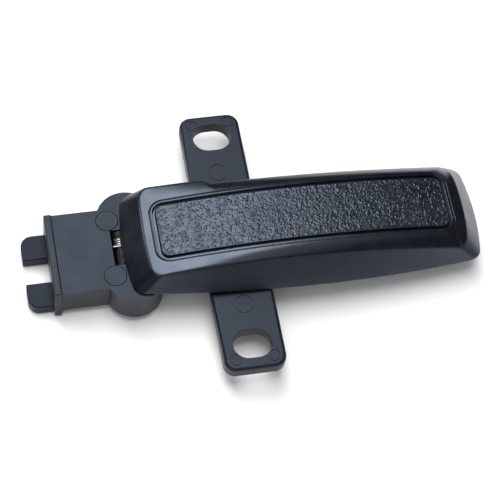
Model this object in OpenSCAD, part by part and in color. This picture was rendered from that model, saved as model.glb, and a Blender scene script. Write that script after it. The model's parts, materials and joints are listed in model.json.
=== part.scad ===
// Lift-lever door handle with a sprung two-prong latch fork.
// The lever is hinged on a pin inside the latch head.  Lifting its free end
// swings a roller finger, and the finger draws the fork bolt into the box.
// Frame: millimetres, +Z points out of the door panel.
// The origin is midway between the two mounting slots, on the strap's back face.

/* [Mounting strap] */
// Strap length across the door, slot end to slot end
strap_l = 76; // [68:1:90]
// Strap width
strap_w = 16.4; // [15:0.2:20]
// Strap thickness
strap_t = 3.9; // [3.5:0.1:4.4]
// Distance between the slot centres
slot_pitch = 62; // [56:1:66]
// Slot length, along the lever
slot_l = 10.3; // [9:0.1:11]
// Slot width
slot_w = 8; // [6:0.1:9]

/* [Latch head] */
// Height of the head's top face above the strap's front face
head_rise = 1.85; // [1.7:0.05:2.3]
// Distance from the slot line to the head's centre
head_off = 27.1; // [26.4:0.1:30]
// Height of the head and box
head_h = 9.6; // [9.3:0.1:11]
// Radius of the head's two lobes
lobe_r = 7.75; // [7.6:0.05:8.2]
// Width of the latch box
box_w = 23; // [22.6:0.1:25]
// Distance from the head's centre to the box's open end
box_x = 19.3; // [18.8:0.1:20.4]

/* [Fork bolt] */
// Length of the prongs outside the collar
prong_l = 6.5; // [4:0.1:8]
// Width of each prong
prong_w = 7.1; // [5:0.1:7.6]
// Thickness of the prongs
prong_t = 3.6; // [3:0.1:3.8]

/* [Lever] */
// Overall length of the lever
lever_l = 97.2; // [92:0.1:104]
// Greatest half width of the lever at its rim
lever_hw = 17; // [16.4:0.1:18]
// Height of the lever's crown above its rim plane
crown_h = 10.3; // [10.1:0.1:11.5]
// Wall thickness of the lever shell
wall = 1.8; // [1.5:0.1:2]
// Nose-down tilt of the lever at rest, in degrees
tilt = 3.15; // [2.8:0.05:3.3]

/* [Grip insert] */
// Length of the grained insert
insert_l = 77.6; // [70:0.1:78.6]
// Width of the grained insert
insert_w = 15; // [12:0.1:15.6]
// Groove between the insert and its recess
insert_gap = 0.65; // [0.2:0.05:0.8]

/* [Hinge] */
// Radius of the hinge pin
pin_r = 1; // [0.9:0.01:1.02]
// Running clearance of the pin in its bushings
run_gap = 0.03; // [0.015:0.005:0.05]
// Wire radius of the return spring
wire_r = 0.35; // [0.25:0.05:0.35]

/* [Hidden] */
$fn = 48;
e = 0.02;

// Head frame: origin at the head's centre, on the head's top face.
head_top = strap_t + head_rise;
lobe_y = 8.3;
hinge_x = -2.5;
hinge_z = -2.2;
pin_half = 7.6;
pocket_x0 = -4.75;
pocket_x1 = 6;
pocket_hy = 5.15;
boss_r = 1.95;
bush_r = 1.4;
chan_z = -5.9;
chan_hy = 9.6;
chan_x1 = 5.9;
nose_hy = 10.9;
nose_z = -7.95;
collar_l = 2;
collar_out = 0.3;
collar_bot = -head_h - 2.5;

// Hinge keepers, their screws and the plugs over the screws.
plug_x = -5.04;
plug_y = 8.12;
plug_r = 2.99;
plug_z = -0.7;
kscrew_r = 0.8;
khead_r = 1.45;
khead_t = 0.65;
keep_x0 = -7.2;
keep_x1 = -0.8;
keep_y0 = 5.45;
keep_y1 = 9.4;

// Drive finger: arm from the hinge down to a roller in the fork's slot.
swing = 17.5;
arm = 5.6;
roller_r = 1.1;
roller_pin_r = 0.5;
roller_y = -2;
tip_x = hinge_x - arm * sin(swing);
tip_z = hinge_z - arm * cos(swing);

// Fork block inside the box.
fork_gap = 0.2;
fork_top = chan_z - 0.3;
fork_bot = -9.2;
fork_x0 = -18.9;
fork_x1 = -0.2;
fork_hy = chan_hy - fork_gap;
prong_out = 10.6;
prong_top = -8.25;
prong_bot = prong_top - prong_t;
slot_hx = 1.25;
liner_t = 0.5;
liner_y0 = -4.4;
liner_y1 = 0.4;
fspring_y = 6.8;
fspring_z = -7.7;
fspring_r = 1.05;
fwire_r = 0.2;
fspring_x0 = -8;
bore_r = 1.45;

// Base cover and its screws.
cover_t = 1.4;
cover_x0 = -13.8;
cscrew_x = 3.4;
cscrew_y = 12;
cscrew_r = 0.9;
chead_r = 1.7;

// Corners of the mounting strap.
strap_corner = 3.2;

// Neck socket that holds the strap's tongue.
neck_x1 = 14.2;
neck_hy = 9;
tongue_hy = 6.9;
tongue_x0 = 8.2;
// the tongue's back stays clear of the panel, so only the strap bears on it
tongue_up = 0.3;
neck_top = 0.95 - head_rise;
neck_bot = -head_top - 1.85;
sscrew_x = 11.2;
sscrew_y = 4;
sscrew_r = 1.25;
shead_r = 2.2;
shead_t = 1.2;
seat_gap = 0.05;

// Lever frame: origin at the middle of the lever's inner rim edge.
lever_x = -2.4;
lever_z = 0.8;
lk = lever_l / 97.2;
wk = lever_hw / 17;
arch_u = 56 * lk;
arch_r = 250 * lk * lk;
cap_t = 2;
recess_d = 1;
ins_u0 = 9.1;
ins_rc = 2.2;

// Carrier plate inside the lever.
plate_w0 = 2.2;
plate_w1 = 3.7;
plate_u0 = 9.6;
plate_u1 = 62;
plate_hy = 7.4;
lscrew_u = [17, 17, 57];
lscrew_y = [5, -5, 0];
lscrew_r = 0.9;
lscrew_top = 5.6;
lhead_r = 1.8;
lhead_t = 0.7;

// Back plate that closes the middle of the lever.
back_u0 = 27;
back_u1 = 66;
back_w0 = 0.4;
back_t = 1;
bscrew_u = [31, 31, 62, 62];
bscrew_y = [10.8, -10.8, 10.2, -10.2];
bscrew_r = 0.8;
bscrew_top = 4.6;
bhead_r = 1.5;

// Rubber stop on the strap.
stop_r = 3;
// clearance between the resting lever's back plate and the stop
stop_gap = 0.3;
stop_u = (head_off - lever_x) / cos(tilt);
stop_h = head_top + lever_z - (stop_u + stop_r) * sin(tilt) + back_w0 - stop_gap - strap_t;
stop_stem_r = 1.6;

black = [0.06, 0.065, 0.075];
dark = [0.1, 0.105, 0.12];
steel = [0.62, 0.64, 0.67];

function arch(u) = crown_h - (arch_r - sqrt(arch_r * arch_r - pow(u - arch_u, 2)));

module at_head() {
    translate([-head_off, 0, head_top])
        children();
}

module at_lever() {
    at_head()
        translate([lever_x, 0, lever_z])
            rotate([0, tilt, 0])
                children();
}

module rod_y(r, y0, y1) {
    translate([0, y0, 0])
        rotate([-90, 0, 0])
            cylinder(r = r, h = y1 - y0);
}

module box(x0, x1, y0, y1, z0, z1) {
    translate([x0, y0, z0])
        cube([x1 - x0, y1 - y0, z1 - z0]);
}

module mirror_y() {
    children();
    mirror([0, 1, 0])
        children();
}

module rounded_plate(x0, x1, hy, z0, z1, r) {
    translate([0, 0, z0])
        linear_extrude(z1 - z0) {
            translate([x0 + r, -hy])
                square([x1 - x0 - 2 * r, 2 * hy]);
            translate([x0, -hy + r])
                square([x1 - x0, 2 * hy - 2 * r]);
            for (x = [x0 + r, x1 - r])
                for (y = [-hy + r, hy - r])
                    translate([x, y])
                        circle(r);
        }
}

// ---- latch head ------------------------------------------------------

module head_outline(r) {
    for (s = [-1, 1])
        translate([0, s * lobe_y])
            circle(r, $fn = 96);
    translate([-r, -lobe_y])
        square([2 * r, 2 * lobe_y]);
}

module keeper_space(gap) {
    box(keep_x0 - gap, keep_x1 + gap, keep_y0 - gap, keep_y1 + gap, chan_z + gap - e, hinge_z - 0.15 + gap);
}

module latch_housing() {
    color(black)
        at_head()
            difference() {
                union() {
                    translate([0, 0, -head_h])
                        linear_extrude(head_h)
                            head_outline(lobe_r);
                    box(-box_x, 0, -box_w / 2, box_w / 2, -head_h, 0);
                    box(0, neck_x1, -neck_hy, neck_hy, neck_bot, neck_top);
                }
                // channel for the fork block, and the wider step for the prong root
                box(-box_x - 1, chan_x1, -chan_hy, chan_hy, -head_h - 1, chan_z);
                box(-box_x - 1, -14, -nose_hy, nose_hy, -head_h - 1, nose_z);
                // pocket for the hinge arm
                box(pocket_x0, pocket_x1, -pocket_hy, pocket_hy, chan_z - e, 1);
                // hinge pin seat, keeper recess, screw hole and plug seat
                mirror_y() {
                    translate([hinge_x, 0, hinge_z])
                        rod_y(pin_r, pocket_hy - 1, pin_half + seat_gap);
                    keeper_space(seat_gap);
                    translate([plug_x, plug_y, -4])
                        cylinder(r = kscrew_r + seat_gap, h = 5);
                    translate([plug_x, plug_y, plug_z - khead_t])
                        cylinder(r = khead_r + seat_gap, h = 3);
                    translate([plug_x, plug_y, plug_z])
                        cylinder(r = plug_r + 0.01, h = 2);
                }
                // threads for the cover screws
                for (x = [-cscrew_x, cscrew_x])
                    for (y = [-cscrew_y, cscrew_y])
                        translate([x, y, -head_h - 1])
                            cylinder(r = cscrew_r, h = 7);
                // socket for the strap's tongue, and its screw holes
                box(tongue_x0 - seat_gap, neck_x1 + 1, -tongue_hy - seat_gap, tongue_hy + seat_gap,
                    tongue_up - head_top - seat_gap, strap_t - head_top + seat_gap);
                for (y = [-sscrew_y, sscrew_y])
                    translate([sscrew_x, y, neck_bot - 1])
                        cylinder(r = sscrew_r + 0.1, h = tongue_up - head_top - neck_bot + 1);
            }
}

module screw_plugs() {
    color(dark)
        at_head()
            mirror_y()
                translate([plug_x, plug_y, plug_z])
                    cylinder(r = plug_r, h = 0.15 - plug_z);
}

module keeper_screws() {
    color(steel)
        at_head()
            mirror_y()
                translate([plug_x, plug_y, 0]) {
                    translate([0, 0, plug_z - khead_t])
                        cylinder(r = khead_r, h = khead_t);
                    translate([0, 0, chan_z + 0.6])
                        cylinder(r = kscrew_r, h = plug_z - khead_t - chan_z - 0.6 + e);
                }
}

module hinge_keepers() {
    color(dark)
        at_head()
            mirror_y()
                difference() {
                    box(keep_x0, keep_x1, keep_y0, keep_y1, chan_z + 0.05, hinge_z - 0.15);
                    translate([hinge_x, 0, hinge_z])
                        rod_y(pin_r, 0, 20);
                    translate([plug_x, plug_y, chan_z - 1])
                        cylinder(r = kscrew_r, h = 6);
                }
}

module hinge_pin() {
    color(steel)
        at_head()
            translate([hinge_x, 0, hinge_z])
                rod_y(pin_r, -pin_half, pin_half);
}

module end_collar() {
    color(black)
        at_head()
            difference() {
                collar_block();
                box(-box_x - collar_l - 1, -box_x + 1, -nose_hy, nose_hy, collar_bot - 1, nose_z);
            }
}

module collar_block() {
    hy = box_w / 2 + collar_out;
    box(-box_x - collar_l, -box_x, -hy, hy, collar_bot, collar_out);
}

module base_cover() {
    color(black)
        at_head()
            difference() {
                union() {
                    translate([0, 0, -head_h - cover_t])
                        linear_extrude(cover_t)
                            head_outline(lobe_r - 0.85);
                    box(cover_x0, 0, -10.4, 10.4, -head_h - cover_t, -head_h);
                    box(cover_x0, chan_x1 - 0.1, 0.1 - chan_hy, chan_hy - 0.1, -head_h - e, 0.15 - head_h);
                }
                for (x = [-cscrew_x, cscrew_x])
                    for (y = [-cscrew_y, cscrew_y])
                        translate([x, y, -head_h - cover_t - 1])
                            cylinder(r = cscrew_r + 0.1, h = 4);
            }
}

module cover_screws() {
    color(steel)
        at_head()
            for (x = [-cscrew_x, cscrew_x])
                for (y = [-cscrew_y, cscrew_y])
                    translate([x, y, -head_h - cover_t]) {
                        translate([0, 0, -0.9])
                            cylinder(r = chead_r, h = 0.9);
                        translate([0, 0, -e])
                            cylinder(r = cscrew_r, h = cover_t + 4.5);
                    }
}

// ---- mounting strap --------------------------------------------------

module slot_cut() {
    r = slot_w / 2;
    translate([0, 0, -1])
        linear_extrude(strap_t + 2) {
            for (s = [-1, 1])
                translate([s * (slot_l / 2 - r), 0])
                    circle(r);
            square([slot_l - slot_w, slot_w], center = true);
        }
}

module mounting_strap() {
    color(black)
        difference() {
            union() {
                rounded_plate(-strap_w / 2, strap_w / 2, strap_l / 2, 0, strap_t, strap_corner);
                box(tongue_x0 - head_off, 0, -tongue_hy, tongue_hy, tongue_up, strap_t);
            }
            for (s = [-1, 1])
                translate([0, s * slot_pitch / 2, 0])
                    slot_cut();
            for (y = [-sscrew_y, sscrew_y])
                translate([sscrew_x - head_off, y, -1])
                    cylinder(r = sscrew_r, h = 4);
            translate([0, 0, strap_t - 2])
                cylinder(r = stop_stem_r, h = 3);
        }
}

module strap_screws() {
    color(steel)
        at_head()
            for (y = [-sscrew_y, sscrew_y])
                translate([sscrew_x, y, neck_bot]) {
                    translate([0, 0, -shead_t])
                        cylinder(r = shead_r, h = shead_t);
                    translate([0, 0, -e])
                        cylinder(r = sscrew_r, h = 4.5);
                }
}

module stop_buffer() {
    color([0.03, 0.03, 0.03]) {
        translate([0, 0, strap_t])
            cylinder(r = stop_r, h = stop_h);
        translate([0, 0, strap_t - 2])
            cylinder(r = stop_stem_r, h = 2 + e);
    }
}

// ---- fork bolt -------------------------------------------------------

module prong() {
    r = 3;
    x0 = -box_x - collar_l - prong_l;
    y0 = prong_out - prong_w;
    translate([0, 0, prong_bot])
        linear_extrude(prong_t) {
            translate([x0, y0])
                square([-18.2 - x0, prong_w - r]);
            translate([x0 + r, y0])
                square([-18.2 - x0 - r, prong_w]);
            translate([x0 + r, prong_out - r])
                circle(r);
        }
}

module fork_bolt() {
    color(dark)
        at_head()
            difference() {
                union() {
                    box(fork_x0, fork_x1, -fork_hy, fork_hy, fork_bot, fork_top);
                    box(fork_x0, -18.2, -prong_out, prong_out, prong_bot, prong_top);
                    box(fork_x0, -17.4, -fork_hy, fork_hy, prong_bot, fork_top);
                    mirror_y()
                        prong();
                }
                box(tip_x - slot_hx - liner_t, tip_x + slot_hx + liner_t,
                    liner_y0 - liner_t, liner_y1 + liner_t, fork_bot - 1, fork_top + 1);
                for (y = [-fspring_y, fspring_y])
                    translate([fspring_x0, y, fspring_z])
                        rotate([0, 90, 0])
                            cylinder(r = bore_r, h = 20);
            }
}

module drive_liner() {
    color(steel)
        at_head()
            difference() {
                box(tip_x - slot_hx - liner_t, tip_x + slot_hx + liner_t,
                    liner_y0 - liner_t, liner_y1 + liner_t, fork_bot, fork_top);
                box(tip_x - slot_hx, tip_x + slot_hx, liner_y0, liner_y1, fork_bot - 1, fork_top + 1);
            }
}

// One spring coil drawn as a ring of wire.
module wire_ring(r, w) {
    rotate_extrude($fn = 32)
        translate([r, 0])
            circle(w, $fn = 14);
}

module fork_springs() {
    n = 12;
    span = chan_x1 - fspring_x0 - 2 * fwire_r;
    color(steel)
        at_head()
            for (y = [-fspring_y, fspring_y]) {
                for (i = [0:n])
                    translate([fspring_x0 + fwire_r + i * span / n, y, fspring_z])
                        rotate([0, 90, 0])
                            wire_ring(fspring_r, fwire_r);
                translate([fspring_x0 + fwire_r, y, fspring_z + fspring_r])
                    rotate([0, 90, 0])
                        cylinder(r = 0.1, h = span, $fn = 14);
            }
}

// ---- lever -----------------------------------------------------------

// Rim outline: two long arcs for the sides, two short ones for the ends, and round corners.
side_u = 46 * lk;
side_r = 420;
end_r0 = 72;
end_r1 = 42;
rim_corner = 3.5;

// Half width of the flat band of the crown that holds the insert.
flat_hy = insert_w / 2 + insert_gap;

// Crease line: distance along the lever, half width of the crease.
grip_st = [5.6, 16, 26, 36, 46, 56, 66, 76, 84, 91.4];
head_st = [5.6, 9, 13, 17, 22.6];
shoulder = 1.3;
shoulder_end = 25.2;

module rim_outline(inset) {
    offset(delta = -inset)
        offset(r = rim_corner)
            offset(delta = -rim_corner)
                intersection() {
                    arc_disc(side_u, lever_hw - side_r, side_r);
                    arc_disc(side_u, side_r - lever_hw, side_r);
                    arc_disc(end_r0, 0, end_r0);
                    union() {
                        arc_disc(lever_l - end_r1, 0, end_r1);
                        translate([0, -lever_hw])
                            square([lever_l - end_r1, 2 * lever_hw]);
                    }
                }
}

// A disc with facets of about 3 mm, centred at u, y.
module arc_disc(u, y, r) {
    translate([u, y])
        circle(r, $fn = 2 * r);
}

// Fall of the crease below the crown: shallow at the head, deep at the free end.
function crease_drop(u) = 0.15 + 3.4 * pow(u / 91.4, 1.15);

// Half width of the crease.
function crease_hy(u) = (11.9 + 0.6 * pow((u - 46) / 41, 2)) * wk;

module station(u, yc, wc, wi) {
    translate([u, 0, 0])
        rotate([90, 0, 90])
            linear_extrude(e)
                polygon([[-yc, 0.5], [yc, 0.5], [yc, wc], [flat_hy, wi], [-flat_hy, wi], [-yc, wc]]);
}

module grip_hull(inset, top) {
    hull() {
        linear_extrude(0.5)
            rim_outline(inset);
        for (u = grip_st) {
            uu = max(5.6 + inset * 0.8, min(lever_l - 5.4 - inset * 0.8, u * lk));
            station(uu, crease_hy(u) - inset * 0.7, arch(uu) - crease_drop(u) - top * 0.8, arch(uu) - top);
        }
    }
}

// The shoulder of the lever's head: it stands out on one side only.
module head_hull() {
    hull() {
        linear_extrude(0.5)
            intersection() {
                rim_outline(0);
                square([shoulder_end, lever_hw]);
            }
        for (u = head_st)
            half_station(u, crease_hy(u) + shoulder, arch(u) - crease_drop(u), arch(u));
        half_station(shoulder_end, crease_hy(shoulder_end), arch(shoulder_end) - crease_drop(shoulder_end),
            arch(shoulder_end) - 0.01);
    }
}

module half_station(u, yc, wc, wi) {
    translate([u, 0, 0])
        rotate([90, 0, 90])
            linear_extrude(e)
                polygon([[0, 0.5], [yc, 0.5], [yc, wc], [flat_hy, wi], [0, wi]]);
}

module lever_outer() {
    grip_hull(0, 0);
    head_hull();
}

module insert_prism(gap, depth, rise) {
    hy = insert_w / 2 + gap;
    difference() {
        intersection() {
            rounded_plate(ins_u0 - gap, ins_u0 + insert_l + gap, hy, 0, 20, ins_rc + gap);
            translate([arch_u, 0, crown_h - arch_r])
                rotate([90, 0, 0])
                    cylinder(r = arch_r + rise, h = 40, center = true, $fn = 720);
        }
        translate([arch_u, 0, crown_h - arch_r])
            rotate([90, 0, 0])
                cylinder(r = arch_r - depth, h = 50, center = true, $fn = 720);
    }
}

module lever_posts() {
    for (i = [0:2])
        translate([lscrew_u[i], lscrew_y[i], plate_w1])
            cylinder(r = 2.2, h = 8);
    for (i = [0:3])
        translate([bscrew_u[i], bscrew_y[i], back_w0 + back_t])
            cylinder(r = 2, h = 8);
}

module lever_shell() {
    color(black)
        at_lever()
            difference() {
                union() {
                    difference() {
                        lever_outer();
                        translate([0, 0, -0.6])
                            grip_hull(wall, cap_t);
                        grip_hull(wall, cap_t);
                    }
                    intersection() {
                        grip_hull(0.4, 0.6);
                        lever_posts();
                    }
                }
                insert_prism(insert_gap, recess_d, 5);
                for (i = [0:2])
                    translate([lscrew_u[i], lscrew_y[i], 0])
                        cylinder(r = lscrew_r, h = lscrew_top + 0.2);
                for (i = [0:3])
                    translate([bscrew_u[i], bscrew_y[i], 0])
                        cylinder(r = bscrew_r, h = bscrew_top + 0.2);
            }
}

module grip_insert() {
    color(dark)
        at_lever()
            insert_prism(0, recess_d, 0.1);
}

module hinge_web(y0, y1) {
    translate([0, y1, 0])
        rotate([90, 0, 0])
            linear_extrude(y1 - y0)
                polygon([[hinge_x, hinge_z - boss_r], [3.4, hinge_z - boss_r], [5.4, -2], [5.4, 0.4],
                    [8.2, 2.4], [8.2, 3.8], [6.6, 3.7], [0.6, 0.2], [0, hinge_z + boss_r],
                    [hinge_x, hinge_z + boss_r]]);
}

module finger_cheek(y0, y1) {
    translate([hinge_x, y0, hinge_z])
        rotate([0, swing, 0])
            translate([-0.65, 0, -arm])
                cube([1.3, y1 - y0, arm]);
    translate([tip_x, 0, tip_z])
        rod_y(1, y0, y1);
}

module lever_carrier() {
    color(steel)
        difference() {
            union() {
                at_head() {
                    for (s = [[-4.8, -0.4], [3.4, 4.8]]) {
                        translate([hinge_x, 0, hinge_z])
                            rod_y(boss_r, s[0], s[1]);
                        hinge_web(s[0], s[1]);
                    }
                    translate([0, 4.8, 0])
                        rotate([90, 0, 0])
                            linear_extrude(9.6)
                                polygon([[5.2, 1.2], [8.2, 2.4], [8.2, 3.8], [6.6, 3.7]]);
                    finger_cheek(-4.1, -3.1);
                    finger_cheek(-0.9, 0.1);
                }
                at_lever() {
                    rounded_plate(plate_u0, plate_u1, plate_hy, plate_w0, plate_w1, 3);
                    box(9, 12, -4.8, 4.8, plate_w0, plate_w1);
                }
            }
            at_head() {
                translate([hinge_x, 0, hinge_z])
                    rod_y(bush_r, -10, 10);
                translate([tip_x, 0, tip_z])
                    rod_y(roller_pin_r, -10, 10);
            }
            at_lever()
                for (i = [0:2])
                    translate([lscrew_u[i], lscrew_y[i], 0])
                        cylinder(r = lscrew_r + 0.1, h = 6);
        }
}

module hinge_bushings() {
    color([0.75, 0.72, 0.62])
        at_head()
            translate([hinge_x, 0, hinge_z])
                for (s = [[-4.8, -0.4], [3.4, 4.8]])
                    difference() {
                        rod_y(bush_r, s[0], s[1]);
                        rod_y(pin_r + run_gap, s[0] - 1, s[1] + 1);
                    }
}

module return_spring() {
    n = 3;
    r = 1.65;
    y0 = 0.55;
    pitch = 0.75;
    leg_r = wire_r - 0.05;
    color(steel)
        at_head()
            translate([hinge_x, 0, hinge_z]) {
                for (i = [0:n])
                    translate([0, y0 + i * pitch, 0])
                        rotate([90, 0, 0])
                            wire_ring(r, wire_r);
                translate([0, y0, 0])
                    rotate([-90, 0, 0])
                        translate([0, -r, 0])
                            cylinder(r = 0.15, h = n * pitch, $fn = 14);
                translate([-2.2, y0 + pitch, r])
                    rotate([0, 90, 0])
                        cylinder(r = leg_r, h = 2.2);
                translate([0, y0 + n * pitch, -r])
                    rotate([0, 90, 0])
                        cylinder(r = leg_r, h = 4.4);
                translate([4.1, y0 + n * pitch, -r])
                    rod_y(leg_r - 0.04, 0, 0.55);
            }
}

module drive_roller() {
    color([0.8, 0.78, 0.7])
        at_head()
            translate([tip_x, 0, tip_z])
                difference() {
                    rod_y(roller_r, roller_y - 1, roller_y + 1);
                    rod_y(roller_pin_r + run_gap, -5, 5);
                }
}

module roller_pin() {
    color(steel)
        at_head()
            translate([tip_x, 0, tip_z])
                rod_y(roller_pin_r, -4.1, 0.1);
}

module carrier_screws() {
    color(steel)
        at_lever()
            for (i = [0:2])
                translate([lscrew_u[i], lscrew_y[i], 0]) {
                    translate([0, 0, plate_w0 - lhead_t])
                        cylinder(r = lhead_r, h = lhead_t);
                    translate([0, 0, plate_w0 - e])
                        cylinder(r = lscrew_r, h = lscrew_top - plate_w0);
                }
}

module lever_back_plate() {
    color(black)
        at_lever()
            difference() {
                intersection() {
                    translate([0, 0, back_w0])
                        linear_extrude(back_t)
                            rim_outline(wall + 1);
                    box(back_u0, back_u1, -30, 30, back_w0, back_w0 + back_t);
                }
                for (i = [0:3])
                    translate([bscrew_u[i], bscrew_y[i], 0]) {
                        cylinder(r = bscrew_r + 0.1, h = 4);
                        translate([0, 0, back_w0 - 1])
                            cylinder(r = bhead_r + seat_gap, h = 1.5);
                    }
            }
}

module back_plate_screws() {
    color(steel)
        at_lever()
            for (i = [0:3])
                translate([bscrew_u[i], bscrew_y[i], back_w0]) {
                    cylinder(r = bhead_r, h = 0.5);
                    cylinder(r = bscrew_r, h = bscrew_top - back_w0);
                }
}

latch_housing();
screw_plugs();
keeper_screws();
hinge_keepers();
hinge_pin();
end_collar();
base_cover();
cover_screws();
mounting_strap();
strap_screws();
stop_buffer();
fork_bolt();
drive_liner();
fork_springs();
lever_shell();
grip_insert();
lever_carrier();
hinge_bushings();
return_spring();
drive_roller();
roller_pin();
carrier_screws();
lever_back_plate();
back_plate_screws();
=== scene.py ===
# %% [markdown]
# # A lift-lever door latch handle
# The CAD model is loaded as a fixed frame: it says where every piece is and how it moves.
# This script gives the pieces their looks. Pieces that show get a finer mesh with rounded
# edges, and the rest keep their CAD mesh and get a better material.

import json
import math

import bmesh
import bpy
from mathutils import Matrix, Vector, noise


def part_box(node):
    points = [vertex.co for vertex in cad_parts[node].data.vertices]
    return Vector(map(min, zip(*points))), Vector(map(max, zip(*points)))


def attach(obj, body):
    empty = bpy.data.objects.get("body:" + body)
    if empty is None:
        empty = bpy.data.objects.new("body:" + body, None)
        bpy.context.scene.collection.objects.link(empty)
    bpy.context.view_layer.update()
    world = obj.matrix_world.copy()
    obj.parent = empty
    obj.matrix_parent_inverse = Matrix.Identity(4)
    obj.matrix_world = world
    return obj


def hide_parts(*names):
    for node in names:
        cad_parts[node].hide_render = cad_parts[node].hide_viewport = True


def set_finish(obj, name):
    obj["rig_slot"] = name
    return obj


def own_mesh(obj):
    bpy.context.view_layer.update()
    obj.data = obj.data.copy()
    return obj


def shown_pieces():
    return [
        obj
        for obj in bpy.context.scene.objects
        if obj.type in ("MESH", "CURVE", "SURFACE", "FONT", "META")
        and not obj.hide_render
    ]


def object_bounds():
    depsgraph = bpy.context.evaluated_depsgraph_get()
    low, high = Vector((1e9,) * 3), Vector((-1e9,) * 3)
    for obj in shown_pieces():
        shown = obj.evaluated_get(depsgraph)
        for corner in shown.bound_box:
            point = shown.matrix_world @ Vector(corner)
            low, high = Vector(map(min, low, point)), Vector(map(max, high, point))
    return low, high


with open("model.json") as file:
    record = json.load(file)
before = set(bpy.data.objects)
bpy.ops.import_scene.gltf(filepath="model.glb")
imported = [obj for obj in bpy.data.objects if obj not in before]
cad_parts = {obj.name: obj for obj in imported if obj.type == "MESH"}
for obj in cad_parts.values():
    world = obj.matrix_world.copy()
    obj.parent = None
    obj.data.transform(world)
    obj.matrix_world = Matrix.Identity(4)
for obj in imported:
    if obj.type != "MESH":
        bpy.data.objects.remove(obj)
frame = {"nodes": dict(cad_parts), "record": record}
cad_low, cad_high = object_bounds()
MM = 0.001

# %% [markdown]
# Moulded pieces have no knife edges. A small helper turns a bmesh into an object that rides
# on its CAD body and takes the place of its CAD node. Faces that meet at a low angle are
# shaded smooth, so fillets look round without many faces.

# %% Helpers that make a piece
SMOOTH_ANGLE = math.radians(32)


def add_piece(name, bm, body, slot, replaced=(), smooth=SMOOTH_ANGLE):
    """Stores the bmesh as an object at the origin and ties it to its body."""
    mesh = bpy.data.meshes.new(name)
    bm.normal_update()
    bm.to_mesh(mesh)
    bm.free()
    for face in mesh.polygons:
        face.use_smooth = True
    mesh.set_sharp_from_angle(angle=smooth)
    piece = bpy.data.objects.new(name, mesh)
    bpy.context.scene.collection.objects.link(piece)
    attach(piece, body)
    if replaced:
        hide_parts(*replaced)
    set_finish(piece, slot)
    print(name, len(mesh.polygons), "faces")
    return piece


def flat_faces_stay_flat(piece):
    """Lets the large faces set the shading, so that a flat face between two fillets looks flat."""
    weighted = piece.modifiers.new("weighted normals", "WEIGHTED_NORMAL")
    weighted.keep_sharp = True
    weighted.weight = 100


def merged_copy(node):
    """A copy of a CAD node's mesh with its loose triangles merged into flat faces."""
    bm = bmesh.new()
    bm.from_mesh(frame["nodes"][node].data)
    bmesh.ops.remove_doubles(bm, verts=bm.verts, dist=0.002 * MM)
    bmesh.ops.dissolve_limit(bm, angle_limit=math.radians(0.6), verts=bm.verts, edges=bm.edges,
                             use_dissolve_boundaries=False, delimit=set())
    return bm


def sharp_edges(bm, least=35, test=None):
    """Edges whose two faces meet at more than least degrees, and that pass the test."""
    chosen = []
    for edge in bm.edges:
        if len(edge.link_faces) != 2:
            continue
        if edge.calc_face_angle(0) < math.radians(least):
            continue
        if test is None or test(edge):
            chosen.append(edge)
    return chosen


def round_edges(bm, edges, width, segments=2):
    """Rounds these edges with a bevel of that width."""
    bmesh.ops.bevel(bm, geom=edges, offset=width, offset_type="OFFSET", affect="EDGES",
                    segments=segments, profile=0.5, material=-1, clamp_overlap=True)


# %% [markdown]
# The lever is one smooth moulding with sloping walls, a crease all round and a shallow crown.
# It could be a subdivided cage, but the crease and the step behind its head would be hard to
# place. Here it grows from its crease instead: a loop of vertices is extruded ring by ring,
# and each ring is moved to an outline that is a rounded rectangle with a little bow. First
# come the sizes in millimetres, with u along the lever from the hinge end, and the rim.

# %% Lever sizes, in the lever's own frame
pin_low, pin_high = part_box("hinge_pin")
HINGE = (pin_low + pin_high) / 2
HEAD = HINGE + Vector((2.5, 0, 2.2)) * MM
TILT = math.radians(3.15)
TO_LEVER = Matrix.Translation(HEAD + Vector((-2.4, 0, 0.8)) * MM) @ Matrix.Rotation(TILT, 4, "Y")
LEVER_L = 97.2
NEAR_HW, FAR_HW = 17.0, 15.9
NEAR_TAPER, FAR_TAPER = 0.118, 0.073
WIDEST_U, TAPER_REACH = 46, 41
RIM_CORNER, RIM_BOW, BOW_REACH = 2.9, 0.0056, 15
CROWN, ARCH_R, ARCH_U = 10.3, 250.0, 56.0
WALL, CAP = 1.8, 2.0
SIDE_N, END_N, CORNER_N = 176, 36, 12
print("hinge at", [round(c / MM, 2) for c in HINGE], "mm")


def smooth_step(value, start, end):
    """0 before start, 1 after end, and an S curve between them."""
    t = min(1.0, max(0.0, (value - start) / (end - start)))
    return t * t * (3 - 2 * t)


def arch(u):
    """Height of the crown above the rim plane, at u along the lever."""
    return CROWN - ARCH_R + math.sqrt(ARCH_R ** 2 - (u - ARCH_U) ** 2)


def rounded_loop(u0, u1, half, radius):
    """Points of a rounded rectangle, always the same count, so that two loops can be joined."""
    points = []
    corners = [(u1 - radius, half - radius, 0), (u0 + radius, half - radius, 90),
               (u0 + radius, radius - half, 180), (u1 - radius, radius - half, 270)]
    counts = [SIDE_N, END_N, SIDE_N, END_N]
    for index, (cu, cy, turn) in enumerate(corners):
        for k in range(CORNER_N + 1):
            angle = math.radians(turn + 90 * k / CORNER_N)
            points.append((cu + radius * math.cos(angle), cy + radius * math.sin(angle)))
        next_u, next_y, next_turn = corners[(index + 1) % 4]
        start = points[-1]
        angle = math.radians(next_turn)
        end = (next_u + radius * math.cos(angle), next_y + radius * math.sin(angle))
        for k in range(1, counts[index]):
            t = k / counts[index]
            points.append((start[0] + (end[0] - start[0]) * t, start[1] + (end[1] - start[1]) * t))
    return points


def swell(u):
    """0 where the lever is widest, and about 1 near its ends."""
    return ((u - WIDEST_U) / TAPER_REACH) ** 2


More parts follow.
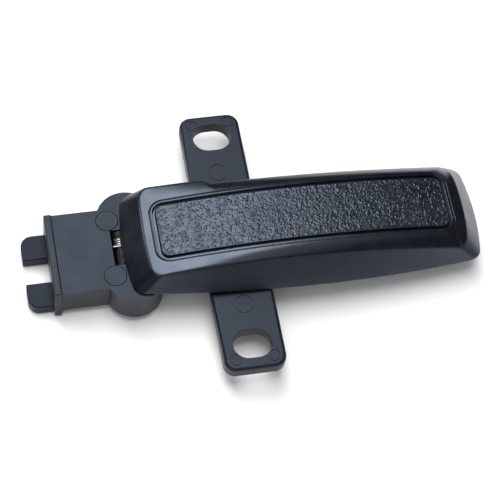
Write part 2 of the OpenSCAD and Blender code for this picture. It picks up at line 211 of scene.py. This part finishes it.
def end_bow(u, y, start, end, amount):
    """How far a point near an end is drawn in, so that the end bends outwards in the middle."""
    bend = amount * y * y
    near_start = max(0.0, 1 - (u - start) / BOW_REACH)
    near_end = max(0.0, 1 - (end - u) / BOW_REACH)
    return bend * (near_start - near_end)


def rim_loop():
    """The rim outline: both long sides swell in the middle, the near one more."""
    result = []
    for u, y in rounded_loop(0, LEVER_L, NEAR_HW, RIM_CORNER):
        if y > 0:
            narrow = (1 - FAR_TAPER * swell(u)) * FAR_HW / NEAR_HW
        else:
            narrow = 1 - NEAR_TAPER * swell(u)
        result.append((u + end_bow(u, y, 0, LEVER_L, RIM_BOW), y * narrow))
    return result


rim = rim_loop()
print("points in one ring of the lever:", len(rim))

# %% [markdown]
# The crease is where the walls turn into the crown. It lies a little below the crown at the
# hinge end and well below it at the free end. On the far side the lever's head has a
# shoulder that stands out, and a short S-shaped step leads from it to the grip. The step is
# in the crease loop itself, so the wall and the crown both follow it.

# %% The crease and the recess edge
CREASE_LEFT, CREASE_RIGHT = 5.4, 91.4
CREASE_CORNER, CREASE_BOW = 2.6, 0.0045
GRIP_HW, END_FLARE = 11.9, 0.6
SHOULDER, STEP_FROM, STEP_TO = 1.3, 22.6, 25.2
SIDE_DROP, SIDE_GROWTH, GROWTH_POWER = 0.15, 3.4, 1.15
MIDDLE_DROP, MIDDLE_GROWTH = 0.05, 0.25
INSERT_U0, INSERT_L, INSERT_HW, INSERT_R = 9.1, 77.6, 7.5, 2.2
GROOVE = 0.65


def crease_height(u, y=GRIP_HW):
    """Height of the crease: its drop below the crown grows to the free end and to the corners."""
    along = u / CREASE_RIGHT
    side = SIDE_DROP + SIDE_GROWTH * along ** GROWTH_POWER
    middle = MIDDLE_DROP + MIDDLE_GROWTH * along
    return arch(u) - middle - (side - middle) * min(1.0, abs(y) / GRIP_HW) ** 4


def crease_loop():
    """The crease outline, with the shoulder and its step on the far side."""
    result = []
    for u, y in rounded_loop(CREASE_LEFT, CREASE_RIGHT, GRIP_HW, CREASE_CORNER):
        half = GRIP_HW + END_FLARE * swell(u)
        if y > 0:
            half += SHOULDER * (1 - smooth_step(u, STEP_FROM, STEP_TO))
        y *= half / GRIP_HW
        result.append((u + end_bow(u, y, CREASE_LEFT, CREASE_RIGHT, CREASE_BOW), y))
    return result


crease = crease_loop()


def round_insert(gap):
    """The insert's outline, grown by a gap."""
    left, right = INSERT_U0 - gap, INSERT_U0 + INSERT_L + gap
    return rounded_loop(left, right, INSERT_HW + gap, INSERT_R + gap)


recess = round_insert(GROOVE)
print("crease height at the head, grip and end:",
      [round(crease_height(u), 2) for u in (12, 50, 90)])

# %% [markdown]
# The shell starts at the crease as a ring of edges and is extruded twice from there: outwards
# and down to the rim, round the rim and up the inside, and inwards over the crown to the
# recess. A bevel then rounds the crease and the rim like the fillets of a moulding.

# %% Build the lever shell
# distance from the recess edge and height above the crown, for a fine line and the raised lip
LIP = ((0.82, -0.16), (0.6, 0.0), (0.45, 0.05), (0.15, 0.05), (0.0, -0.1))
LIP_WIDTH, RECESS_DEPTH = 1.0, 0.95
BAND_POWER = 1.4
CEILING_SIDE, CEILING_LEFT, CEILING_RIGHT, CEILING_DROP = 1.2, 3.25, 3.2, 1.9
CREASE_FILLET, RIM_FILLET = 0.7, 0.3
MIDDLE_FROM, MIDDLE_TO = 16.0, 78.0


def place(points, heights):
    """Lever-frame outline and heights, in millimetres, to points in the shared frame."""
    return [TO_LEVER @ Vector((u * MM, y * MM, w * MM)) for (u, y), w in zip(points, heights)]


def first_ring(bm, points):
    """A closed ring of edges through the points."""
    ring = bmesh.ops.create_circle(bm, cap_ends=False, segments=len(points), radius=1)["verts"]
    for vert, point in zip(ring, points):
        vert.co = point
    return ring


def next_ring(bm, ring, points):
    """Extrudes the ring once and moves the new vertices to the points."""
    count = len(ring)
    edges = [bm.edges.get((ring[i], ring[(i + 1) % count])) for i in range(count)]
    bmesh.ops.extrude_edge_only(bm, edges=edges)
    new = []
    for vert in ring:
        mate = [e.other_vert(vert) for e in vert.link_edges if e.other_vert(vert) not in ring]
        new.append(mate[-1])
    for vert, point in zip(new, points):
        vert.co = point
    return new


def mix(a, b, t):
    """A loop between two loops."""
    return [(p[0] + (q[0] - p[0]) * t, p[1] + (q[1] - p[1]) * t) for p, q in zip(a, b)]


def inner(points, amount, left, right):
    """An outline pulled in by amount at the sides, and to left and right at the ends."""
    scale_u = (right - left) / LEVER_L
    return [(left + u * scale_u, y - math.copysign(min(abs(y), amount), y)) for u, y in points]


def middle_line(points, height):
    """Every point moved to the lever's middle line, where the two sides are merged."""
    line = [(min(MIDDLE_TO, max(MIDDLE_FROM, u)), 0.0) for u, y in points]
    return place(line, [height(u) for u, y in line])


def ring_of(bm, ring):
    """The edges of a ring."""
    count = len(ring)
    return [bm.edges.get((ring[i], ring[(i + 1) % count])) for i in range(count)]


def lever_shell():
    """The hollow moulding, grown from its crease in both directions."""
    bm = bmesh.new()
    crease_ring = first_ring(bm, place(crease, [crease_height(u, y) for u, y in crease]))
    # over the crown to the recess, with a convex fall towards the crease
    ring = crease_ring
    band_edge = round_insert(GROOVE + LIP_WIDTH)
    for t in (0.2, 0.4, 0.6, 0.8, 1.0):
        loop = mix(crease, band_edge, t)
        heights = []
        for (u, y), (cu, cy) in zip(loop, crease):
            drop = arch(cu) - crease_height(cu, cy)
            heights.append(arch(u) - drop * (1 - t) ** BAND_POWER)
        ring = next_ring(bm, ring, place(loop, heights))
    # over the lip and down into the recess
    for gap, rise in LIP + ((0.0, -RECESS_DEPTH),):
        loop = round_insert(GROOVE + gap)
        ring = next_ring(bm, ring, place(loop, [arch(u) + rise for u, y in loop]))
    next_ring(bm, ring, middle_line(recess, lambda u: arch(u) - RECESS_DEPTH))
    # down the walls to the rim, and up the inside to the ceiling
    ring = crease_ring
    for t in (0.25, 0.5, 0.75):
        loop = mix(crease, rim, t)
        ring = next_ring(bm, ring, place(loop, [crease_height(*c) * (1 - t) for c in crease]))
    rim_ring = next_ring(bm, ring, place(rim, [0] * len(rim)))
    inside = inner(rim, WALL, WALL, LEVER_L - WALL)
    ring = next_ring(bm, rim_ring, place(inside, [0] * len(rim)))
    ceiling = inner(crease, CEILING_SIDE, CEILING_LEFT, LEVER_L - CEILING_RIGHT)
    ring = next_ring(bm, ring, place(ceiling, [crease_height(u) - CEILING_DROP for u, y in crease]))
    ceiling_2 = mix(ceiling, recess, 0.8)
    ring = next_ring(bm, ring, place(ceiling_2, [arch(u) - CAP for u, y in ceiling_2]))
    next_ring(bm, ring, middle_line(ceiling_2, lambda u: arch(u) - CAP))
    bmesh.ops.remove_doubles(bm, verts=bm.verts, dist=0.001 * MM)
    crease_ring = [v for v in crease_ring if v.is_valid]
    rim_ring = [v for v in rim_ring if v.is_valid]
    round_edges(bm, [e for e in ring_of(bm, crease_ring) if e], CREASE_FILLET * MM, 4)
    round_edges(bm, [e for e in ring_of(bm, rim_ring) if e], RIM_FILLET * MM, 3)
    bmesh.ops.recalc_face_normals(bm, faces=bm.faces)
    return bm


# The shell is screwed down on seven posts. Three hold the carrier, and four by the walls hold
# the back plate. Each row gives the place along and across, the radius and the foot's height.
SCREW_POSTS = [(17, 5, 2.2, 3.7), (17, -5, 2.2, 3.7), (57, 0, 2.2, 3.7), (31, 10.8, 2.0, 1.4),
               (31, -10.8, 2.0, 1.4), (62, 10.2, 2.0, 1.4), (62, -10.2, 2.0, 1.4)]


def add_posts(bm):
    """Screw posts inside the shell, from their foot up into the ceiling or the wall."""
    for u, y, radius, foot in SCREW_POSTS:
        by_wall = abs(y) > 10
        top = crease_height(u) - (2.1 if by_wall else 1.1)
        made = bmesh.ops.create_cone(bm, cap_ends=True, segments=40, radius1=radius * MM,
                                     radius2=radius * MM, depth=(top - foot) * MM)
        shift = Matrix.Translation(Vector((u, y, (top + foot) / 2)) * MM)
        bmesh.ops.transform(bm, matrix=TO_LEVER @ shift, verts=made["verts"])


bm = lever_shell()
add_posts(bm)
shell = add_piece("lever_shell_look", bm, "lever", "lever_plastic", ["lever_shell"],
                  math.radians(24))
flat_faces_stay_flat(shell)

# %% [markdown]
# The grip insert is a thin panel with a leather grain pressed into it. A bump map would do for
# the picture, but the grain is real relief here, so that it is in the mesh too: a fine grid is
# bent to the crown, its corners are rounded, and creases are pressed in where two cells of a
# cell pattern meet and along the winding lines where a noise field changes sign.

# %% Build the grip insert
GRAIN_CELL = 0.95
GRAIN_DEPTH = 0.17
GRAIN_LEAN = math.radians(38)
INSERT_STEP = 0.13
INSERT_EDGE, INSERT_PROUD, INSERT_SKIRT = 0.55, 0.08, 0.42


def wrinkle(p, seed, width):
    """1 on the winding lines where a noise field changes sign, 0 away from them."""
    value = noise.noise(p + Vector((seed, seed * 1.7, 0)))
    return 1 - smooth_step(abs(value), 0.0, width)


def grain(u, y):
    """Depth of the leather grain: long leaning pillows, 0 on top and 1 in the creases."""
    along = u * math.cos(GRAIN_LEAN) + y * math.sin(GRAIN_LEAN)
    across = y * math.cos(GRAIN_LEAN) - u * math.sin(GRAIN_LEAN)
    p = Vector((along, across, 0)) / GRAIN_CELL
    bend = Vector((noise.noise(p * 0.7), noise.noise(p * 0.7 + Vector((9, 4, 2))), 0))
    q = p + bend * 0.8
    near, second = noise.voronoi(Vector((q.x * 0.6, q.y * 1.05, 0)))[0][:2]
    cells = 1 - smooth_step(second - near, 0.0, 0.35)
    winding = wrinkle(Vector((q.x * 0.8, q.y * 1.3, 0)), 3.1, 0.22)
    crossing = wrinkle(Vector((q.x * 1.1, q.y * 0.95, 0)), 8.6, 0.16)
    return max(0.8 * cells, winding, 0.7 * crossing)


def to_rounded(u, y, half_u, half_y, radius):
    """Bends the corners of a grid into round corners."""
    a = abs(u) - (half_u - radius)
    b = abs(y) - (half_y - radius)
    if a <= 0 or b <= 0:
        return u, y, min(radius - max(a, b), radius) if max(a, b) > 0 else radius
    scale = max(a, b) / math.hypot(a, b)
    return (math.copysign(half_u - radius + a * scale, u),
            math.copysign(half_y - radius + b * scale, y), radius - max(a, b))


def grip_insert():
    """The panel as a fine grid with grain, round corners and a short skirt."""
    bm = bmesh.new()
    half_u = INSERT_L / 2
    nu = round(INSERT_L / INSERT_STEP)
    ny = round(2 * INSERT_HW / INSERT_STEP)
    bmesh.ops.create_grid(bm, x_segments=nu, y_segments=ny, size=1)
    for vert in bm.verts:
        u, y, inside = to_rounded(vert.co.x * half_u, vert.co.y * INSERT_HW,
                                  half_u, INSERT_HW, INSERT_R)
        u += INSERT_U0 + half_u
        edge = max(0.0, INSERT_EDGE - inside)
        fall = 0.9 * (INSERT_EDGE - math.sqrt(max(0.0, INSERT_EDGE ** 2 - edge ** 2)))
        press = GRAIN_DEPTH * grain(u, y) * smooth_step(inside, 0.15, 0.7)
        vert.co = TO_LEVER @ (Vector((u, y, arch(u) + INSERT_PROUD - fall - press)) * MM)
    rim_edges = [e for e in bm.edges if e.is_boundary]
    made = bmesh.ops.extrude_edge_only(bm, edges=rim_edges)["geom"]
    foot = [g for g in made if isinstance(g, bmesh.types.BMVert)]
    down = TO_LEVER.to_3x3() @ Vector((0, 0, -INSERT_SKIRT * MM))
    bmesh.ops.translate(bm, vec=down, verts=foot)
    bmesh.ops.holes_fill(bm, edges=[e for e in bm.edges if e.is_boundary], sides=0)
    bmesh.ops.recalc_face_normals(bm, faces=bm.faces)
    return bm


add_piece("grip_insert_look", grip_insert(), "lever", "grained_plastic", ["grip_insert"],
          math.radians(60))

# %% [markdown]
# The head, collar, fork and cover are plain mouldings whose CAD shapes are right already.
# A copy of each is merged into flat faces, and its sharp edges are rounded a little, as the
# mould leaves them.

# %% Soften the plain mouldings
SOFTENED = {
    "latch_housing": ("latch_housing_look", "housing", "black_plastic", 0.3, 3),
    "screw_plugs": ("screw_plugs_look", "housing", "black_plastic", 0.25, 3),
    "end_collar": ("end_collar_look", "housing", "black_plastic", 0.35, 3),
    "base_cover": ("base_cover_look", "housing", "black_plastic", 0.25, 2),
    "fork_bolt": ("fork_bolt_look", "fork", "fork_plastic", 0.35, 3),
    "lever_back_plate": ("lever_back_plate_look", "lever", "black_plastic", 0.15, 2),
    "stop_buffer": ("stop_buffer_look", "housing", "rubber", 0.35, 3),
    "lever_carrier": ("lever_carrier_look", "lever", "carrier_metal", 0.12, 1),
}
for node, (title, body, slot, width, segments) in SOFTENED.items():
    bm = merged_copy(node)
    round_edges(bm, sharp_edges(bm), width * MM, segments)
    flat_faces_stay_flat(add_piece(title, bm, body, slot, [node]))

# %% [markdown]
# The strap has a generous fillet round its front edge and shallow ring marks where the
# ejector pins of the mould pushed it out. The rings are real grooves: thin tubes are cut out
# of the strap's front face with a Boolean modifier, which is then made part of the mesh.

# %% Build the mounting strap
strap_low, strap_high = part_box("mounting_strap")
STRAP_TOP = strap_high.z
STRAP_HALF_Y = strap_high.y
RING_MARKS = [(-0.3, 19.8, 2.46), (-0.3, -19.8, 2.46), (5.0, 35.2, 1.47), (5.0, -35.2, 1.47),
              (-5.0, 35.2, 1.47), (-5.0, -35.2, 1.47)]
RING_LINE, RING_DEPTH = 0.15, 0.2
FRONT_FILLET, FRONT_MARGIN = 1.0, 3.3
SLOT_HALF_X, SLOT_MARGIN = 5.3, 2.5


def ring_tube(bm, centre, outer, inner_r, depth):
    """A short tube that cuts one ring groove."""
    made = bmesh.ops.create_circle(bm, cap_ends=False, segments=64, radius=outer)
    outer_ring = made["verts"]
    outer_edges = list({e for v in outer_ring for e in v.link_edges})
    made = bmesh.ops.create_circle(bm, cap_ends=False, segments=64, radius=inner_r)
    inner_edges = list({e for v in made["verts"] for e in v.link_edges})
    faces = bmesh.ops.bridge_loops(bm, edges=outer_edges + inner_edges)["faces"]
    raised = bmesh.ops.extrude_face_region(bm, geom=faces)["geom"]
    top = [g for g in raised if isinstance(g, bmesh.types.BMVert)]
    bmesh.ops.translate(bm, vec=Vector((0, 0, 2 * depth)), verts=top)
    verts = outer_ring + made["verts"] + top
    bmesh.ops.translate(bm, vec=centre - Vector((0, 0, depth)), verts=list(set(verts)))


def cut_with(piece, cutter_bm):
    """Takes the cutter's shape out of the piece and keeps the result as its mesh."""
    bmesh.ops.recalc_face_normals(cutter_bm, faces=cutter_bm.faces)
    mesh = bpy.data.meshes.new("cutter")
    cutter_bm.to_mesh(mesh)
    cutter_bm.free()
    cutter = bpy.data.objects.new("cutter", mesh)
    bpy.context.scene.collection.objects.link(cutter)
    modifier = piece.modifiers.new("cut", "BOOLEAN")
    modifier.operation = "DIFFERENCE"
    modifier.solver = "EXACT"
    modifier.object = cutter
    graph = bpy.context.evaluated_depsgraph_get()
    result = bpy.data.meshes.new_from_object(piece.evaluated_get(graph))
    piece.modifiers.remove(modifier)
    piece.data = result
    bpy.data.objects.remove(cutter)


def on_front_outline(edge):
    """True for the strap's outer front edge, away from the slots and the tongue."""
    high = all(v.co.z > STRAP_TOP - 0.01 * MM for v in edge.verts)
    middle = (edge.verts[0].co + edge.verts[1].co) / 2
    margin = FRONT_MARGIN * MM
    outside = abs(middle.x) > strap_high.x - margin or abs(middle.y) > STRAP_HALF_Y - margin
    within_ends = abs(middle.y) < STRAP_HALF_Y - SLOT_MARGIN * MM
    in_slot = abs(middle.x) < SLOT_HALF_X * MM and within_ends
    on_tongue = middle.x < -strap_high.x - 0.01 * MM
    return high and outside and not in_slot and not on_tongue


bm = merged_copy("mounting_strap")
round_edges(bm, sharp_edges(bm, test=on_front_outline), FRONT_FILLET * MM, 5)
round_edges(bm, sharp_edges(bm, least=50), 0.2 * MM, 2)
strap = add_piece("mounting_strap_look", bm, "housing", "black_plastic", ["mounting_strap"])
cutter = bmesh.new()
for x, y, radius in RING_MARKS:
    middle = Vector((x * MM, y * MM, STRAP_TOP))
    ring_tube(cutter, middle, (radius + RING_LINE) * MM, (radius - RING_LINE) * MM, RING_DEPTH * MM)
cut_with(strap, cutter)
flat_faces_stay_flat(strap)
print("strap after the ring marks:", len(strap.data.polygons), "faces")

# %% [markdown]
# Every screw is the same kind: a pan head with a cross recess on a plain shank. One template
# is made and cut once, and a loop sets copies of it where the CAD nodes have their screws.

# %% Build the screws
def cross_screw(head_r, head_t, shank_r, length):
    """A screw whose head sits below z = 0 and whose shank points up, in millimetres."""
    bm = bmesh.new()
    head = bmesh.ops.create_cone(bm, cap_ends=True, segments=40, radius1=head_r * MM,
                                 radius2=head_r * MM, depth=head_t * MM)
    bmesh.ops.translate(bm, vec=Vector((0, 0, -head_t / 2 * MM)), verts=head["verts"])
    low = [e for e in bm.edges if all(v.co.z < -head_t * 0.9 * MM for v in e.verts)]
    round_edges(bm, low, min(0.45, head_t * 0.45) * MM, 4)
    shank = bmesh.ops.create_cone(bm, cap_ends=True, segments=32, radius1=shank_r * MM,
                                  radius2=shank_r * MM, depth=(length + 0.1) * MM)
    bmesh.ops.translate(bm, vec=Vector((0, 0, (length - 0.1) / 2 * MM)), verts=shank["verts"])
    mesh = bpy.data.meshes.new("screw template")
    bm.to_mesh(mesh)
    bm.free()
    template = bpy.data.objects.new("screw template", mesh)
    bpy.context.scene.collection.objects.link(template)
    cut = bmesh.new()
    for turn in (0, 90):
        size = Matrix.Diagonal((head_r * 1.15 * MM, head_r * 0.26 * MM, head_t * 1.2 * MM, 1))
        spot = Matrix.Translation((0, 0, -head_t * MM))
        spin = Matrix.Rotation(math.radians(turn), 4, "Z")
        bmesh.ops.create_cube(cut, size=1, matrix=spot @ spin @ size)
    cut_with(template, cut)
    result = template.data.copy()
    bpy.data.objects.remove(template)
    return result


def set_screws(name, template, places, body, node):
    """One piece that holds a copy of the template at each place, given as a matrix."""
    bm = bmesh.new()
    for matrix in places:
        before = len(bm.verts)
        bm.from_mesh(template)
        bm.verts.ensure_lookup_table()
        bmesh.ops.transform(bm, matrix=matrix, verts=bm.verts[before:])
    return add_piece(name, bm, body, "steel", [node])


def head_place(x, y, z, turn=0):
    """A place in the head's own frame."""
    spin = Matrix.Rotation(math.radians(turn), 4, "Z")
    return Matrix.Translation(HEAD + Vector((x, y, z)) * MM) @ spin


def lever_place(u, y, w, turn=0):
    """A place in the lever's own frame."""
    spin = Matrix.Rotation(math.radians(turn), 4, "Z")
    return TO_LEVER @ Matrix.Translation(Vector((u, y, w)) * MM) @ spin


cover_places = [head_place(sx * 3.4, sy * 12, -11, 20 * sx + 35 * sy)
                for sx in (-1, 1) for sy in (-1, 1)]
strap_places = [head_place(11.2, y, -7.6, 8 * y) for y in (-4, 4)]
carrier_places = [lever_place(u, y, 2.2, 7 * y + u) for u, y, r, foot in SCREW_POSTS[:3]]
back_places = [lever_place(u, y, 0.9, 11 * y + u) for u, y, r, foot in SCREW_POSTS[3:]]
# head radius and thickness, shank radius and length
cover_screw = cross_screw(1.7, 0.9, 0.9, 5.8)
strap_screw = cross_screw(2.2, 1.2, 1.25, 4.4)
back_plate_screw = cross_screw(1.5, 0.5, 0.8, 3.6)
carrier_screw = cross_screw(1.8, 0.7, 0.9, 3.4)
set_screws("cover_screws_look", cover_screw, cover_places, "housing", "cover_screws")
set_screws("strap_screws_look", strap_screw, strap_places, "housing", "strap_screws")
set_screws("back_plate_screws_look", back_plate_screw, back_places, "lever", "back_plate_screws")
set_screws("carrier_screws_look", carrier_screw, carrier_places, "lever", "carrier_screws")

# %% [markdown]
# Springs are wound wire. A ring of vertices, the wire's section, is spun round the coil's
# axis while it moves along it, which is just how a spring winder works. The return spring
# has two straight legs: one stands on the pocket wall and one lifts under the lever's arm.

# %% Build the springs
def wind(bm, centre, axis, start, wire, turns, rise):
    """Winds wire round an axis through centre; rise is the climb along the axis per turn."""
    axis = axis.normalized()
    along = axis.cross(start).normalized()
    side = Matrix((start.normalized(), axis, along)).transposed().to_4x4()
    ring = bmesh.ops.create_circle(bm, cap_ends=False, segments=14, radius=wire,
                                   matrix=Matrix.Translation(centre + start) @ side)["verts"]
    edges = list({e for v in ring for e in v.link_edges})
    steps = round(turns * 28)
    made = bmesh.ops.spin(bm, geom=edges + ring, cent=centre, axis=axis, angle=turns * 2 * math.pi,
                          steps=steps, dvec=axis * (rise * turns / steps))
    last = [g for g in made["geom_last"] if isinstance(g, bmesh.types.BMEdge)]
    return edges, last


def grow_leg(bm, edges, shift):
    """Extrudes the open end of a wire in a straight line and closes it."""
    made = bmesh.ops.extrude_edge_only(bm, edges=edges)["geom"]
    verts = [g for g in made if isinstance(g, bmesh.types.BMVert)]
    bmesh.ops.translate(bm, vec=shift, verts=verts)


def close_ends(bm):
    """Caps every open end of the wire and turns the faces outwards."""
    bmesh.ops.holes_fill(bm, edges=[e for e in bm.edges if e.is_boundary], sides=0)
    bmesh.ops.recalc_face_normals(bm, faces=bm.faces)


spring_low, spring_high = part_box("fork_springs")
FORK_SPRING_R, FORK_WIRE, FORK_TURNS = 1.05, 0.2, 11
FORK_SPRING_Y = 6.8
bm = bmesh.new()
for side in (-1, 1):
    centre = Vector((spring_low.x + FORK_WIRE * MM, side * FORK_SPRING_Y * MM,
                     (spring_low.z + spring_high.z) / 2))
    length = spring_high.x - spring_low.x - 2 * FORK_WIRE * MM
    wind(bm, centre, Vector((1, 0, 0)), Vector((0, 0, FORK_SPRING_R * MM)), FORK_WIRE * MM,
         FORK_TURNS, length / FORK_TURNS)
close_ends(bm)
fork_springs = add_piece("fork_springs_look", bm, "housing", "steel", ["fork_springs"])
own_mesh(fork_springs)

COIL_R, COIL_WIRE, COIL_TURNS, COIL_PITCH = 1.65, 0.34, 3.5, 0.66
WALL_LEG, ARM_LEG = 1.9, 4.2
bm = bmesh.new()
coil_start = HINGE + Vector((0, 0.52, 0)) * MM
first, last = wind(bm, coil_start, Vector((0, 1, 0)), Vector((0, 0, COIL_R * MM)), COIL_WIRE * MM,
                   COIL_TURNS, COIL_PITCH * MM)
grow_leg(bm, first, Vector((-WALL_LEG * MM, 0, 0)))
grow_leg(bm, last, Vector((ARM_LEG * MM, 0, 0)))
close_ends(bm)
add_piece("return_spring_look", bm, "housing", "steel", ["return_spring"])

# %% [markdown]
# Now the finishes. All the mouldings are black nylon or ABS, but not the same surface: the
# lever is smooth satin, the head and strap are duller with a fine spark-eroded texture, and the
# fork is rubbed along its travel. One function with a few settings makes them all. A noise
# pattern in Object coordinates gives each its faint unevenness, so nothing is one flat colour.

# %% Materials
def new_material(name):
    """A material with an empty node tree and its Principled shader."""
    material = bpy.data.materials.new(name)
    material.use_nodes = True
    nodes = material.node_tree.nodes
    return material, nodes, material.node_tree.links, nodes["Principled BSDF"]


def noise_node(nodes, links, scale, detail=3.0, roughness=0.55, stretch=1.0):
    """A noise pattern in Object coordinates; scale is per metre, stretch draws it out along X."""
    coordinates = nodes.new("ShaderNodeTexCoord")
    mapping = nodes.new("ShaderNodeMapping")
    mapping.inputs["Scale"].default_value = (1 / stretch, 1, 1)
    texture = nodes.new("ShaderNodeTexNoise")
    texture.inputs["Scale"].default_value = scale
    texture.inputs["Detail"].default_value = detail
    texture.inputs["Roughness"].default_value = roughness
    links.new(coordinates.outputs["Object"], mapping.inputs["Vector"])
    links.new(mapping.outputs["Vector"], texture.inputs["Vector"])
    return texture


def ramp_node(nodes, links, factor, low, high, start=0.35, end=0.65):
    """A colour ramp from low to high; both are grey levels or colours."""
    ramp = nodes.new("ShaderNodeValToRGB")
    for stop, position, value in ((0, start, low), (1, end, high)):
        element = ramp.color_ramp.elements[stop]
        element.position = position
        element.color = (*value, 1) if isinstance(value, tuple) else (value, value, value, 1)
    links.new(factor, ramp.inputs["Fac"])
    return ramp


def moulded(name, dark, light, rough, shine, texture_scale, bump, stretch=1.0):
    """Black moulding: a mottled colour, an uneven gloss and a fine surface texture."""
    material, nodes, links, shader = new_material(name)
    broad = noise_node(nodes, links, 180 * min(3.0, stretch), 2, stretch=stretch)
    fine = noise_node(nodes, links, texture_scale, 4, 0.6, stretch)
    colour = ramp_node(nodes, links, broad.outputs["Fac"], dark, light)
    links.new(colour.outputs["Color"], shader.inputs["Base Color"])
    gloss = ramp_node(nodes, links, broad.outputs["Fac"], rough - 0.03, rough + 0.04)
    links.new(gloss.outputs["Color"], shader.inputs["Roughness"])
    relief = nodes.new("ShaderNodeBump")
    relief.inputs["Strength"].default_value = bump
    relief.inputs["Distance"].default_value = 0.0001
    links.new(fine.outputs["Fac"], relief.inputs["Height"])
    links.new(relief.outputs["Normal"], shader.inputs["Normal"])
    shader.inputs["Specular IOR Level"].default_value = shine
    shader.inputs["Specular Tint"].default_value = (0.68, 0.79, 1.0, 1)
    return material


def metal(name, dark, light, rough, scale):
    """Plated or cast metal: a mottled colour and an uneven gloss."""
    material, nodes, links, shader = new_material(name)
    cloud = noise_node(nodes, links, scale, 4)
    colour = ramp_node(nodes, links, cloud.outputs["Fac"], dark, light)
    links.new(colour.outputs["Color"], shader.inputs["Base Color"])
    gloss = ramp_node(nodes, links, cloud.outputs["Fac"], rough - 0.06, rough + 0.08)
    links.new(gloss.outputs["Color"], shader.inputs["Roughness"])
    shader.inputs["Metallic"].default_value = 1.0
    return material


# per moulding: dark and light colour, roughness, shine, texture scale per metre, relief, stretch
LOOKS = {
    "black_plastic": moulded("black moulding", (0.003, 0.004, 0.0065), (0.0055, 0.0065, 0.01),
                             0.42, 0.37, 2600, 0.2),
    "lever_plastic": moulded("lever moulding", (0.0016, 0.0018, 0.0028), (0.003, 0.0033, 0.0045),
                             0.27, 0.75, 3200, 0.06),
    "fork_plastic": moulded("fork moulding", (0.002, 0.003, 0.0045), (0.008, 0.011, 0.016),
                            0.46, 0.22, 2400, 0.3, 9.0),
    "grained_plastic": moulded("grained panel", (0.002, 0.003, 0.004), (0.004, 0.0055, 0.007),
                               0.35, 0.75, 3000, 0.08),
    "rubber": moulded("stop rubber", (0.012, 0.012, 0.012), (0.02, 0.02, 0.02),
                      0.8, 0.4, 1500, 0.25),
    "bearing_plastic": moulded("acetal", (0.66, 0.64, 0.56), (0.75, 0.73, 0.65),
                               0.4, 0.5, 900, 0.08),
    "steel": metal("zinc plate", (0.2, 0.2, 0.205), (0.34, 0.34, 0.35), 0.3, 900),
    "carrier_metal": metal("blackened casting", (0.012, 0.012, 0.014), (0.03, 0.03, 0.033),
                           0.5, 1400),
}
slots = {entry["node"]: entry["material_slot"] for entry in frame["record"]["subparts"]}
for name, node in frame["nodes"].items():
    node.data.materials.clear()
    node.data.materials.append(LOOKS[slots[name]])
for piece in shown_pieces():
    if "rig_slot" in piece:
        piece.data.materials.clear()
        piece.data.materials.append(LOOKS[piece["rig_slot"]])
print("materials:", len(LOOKS))

# %% [markdown]
# The studio is a white table, a long soft light overhead that draws the blue-grey sheen on the
# left of the lever, a small light from the hinge side for the rounded edges, and a dim room
# with one pale patch. Black plastic shows little but what it mirrors, so the room stays dim and
# the table's colour carries a painted falloff of light: white near the object and painted darker
# away from it, so that the black walls mirror less light.

# %% Floor, lights and room
FLOOR_Z = cad_low.z - 0.3 * MM
PALE_PATCH = (-0.17, -0.5, 0.85)
bm = bmesh.new()
bmesh.ops.create_circle(bm, cap_ends=True, segments=96, radius=1.6)
bmesh.ops.translate(bm, vec=Vector((0, 0, FLOOR_Z)), verts=bm.verts)
mesh = bpy.data.meshes.new("table")
bm.to_mesh(mesh)
bm.free()
table = bpy.data.objects.new("table", mesh)
bpy.context.scene.collection.objects.link(table)
material, nodes, links, shader = new_material("white table")
coordinates = nodes.new("ShaderNodeTexCoord")
distance = nodes.new("ShaderNodeVectorMath")
distance.operation = "LENGTH"
links.new(coordinates.outputs["Object"], distance.inputs[0])
# painted falloff of light: the table's colour is white near the object and painted darker away from
# it
painted_light_falloff = ramp_node(nodes, links, distance.outputs["Value"], 0.94, 0.55, 0.11, 0.4)
links.new(painted_light_falloff.outputs["Color"], shader.inputs["Base Color"])
shader.inputs["Roughness"].default_value = 0.9
shader.inputs["Specular IOR Level"].default_value = 0.1
mesh.materials.append(material)


def soft_light(name, place, width, height, power):
    """A rectangular soft light that faces the object."""
    data = bpy.data.lights.new(name, "AREA")
    data.shape = "RECTANGLE"
    data.size, data.size_y = width, height
    data.energy = power
    lamp = bpy.data.objects.new(name, data)
    lamp.location = place
    lamp.rotation_euler = (-Vector(place)).to_track_quat("-Z", "Y").to_euler()
    bpy.context.scene.collection.objects.link(lamp)


soft_light("key", (-0.07, 0.25, 0.9), 0.48, 1.05, 11.0)
soft_light("side", (-0.68, 0.44, 0.52), 0.26, 0.3, 1.1)

world = bpy.data.worlds.new("room")
bpy.context.scene.world = world
world.use_nodes = True
nodes, links = world.node_tree.nodes, world.node_tree.links
coordinates = nodes.new("ShaderNodeTexCoord")
facing = nodes.new("ShaderNodeVectorMath")
facing.operation = "DOT_PRODUCT"
facing.inputs[1].default_value = PALE_PATCH
links.new(coordinates.outputs["Generated"], facing.inputs[0])
room = ramp_node(nodes, links, facing.outputs["Value"], (0.1, 0.105, 0.115), (1, 1, 1), 0.72, 0.95)
links.new(room.outputs["Color"], nodes["Background"].inputs["Color"])
print("floor at", round(FLOOR_Z, 4))

# %% [markdown]
# The camera looks down on the handle from the front with a long lens, so that the lever,
# the strap and the fork all show.

# %% Camera
camera_data = bpy.data.cameras.new("camera")
camera_data.lens = 129.4
camera_data.sensor_width = 36
camera = bpy.data.objects.new("camera", camera_data)
camera.location = (-0.0745, -0.2128, 0.4220)
camera.rotation_euler = [math.radians(a) for a in (27.556, -5.429, -10.404)]
bpy.context.scene.collection.objects.link(camera)
bpy.context.scene.camera = camera
bpy.context.scene.view_settings.view_transform = "Standard"
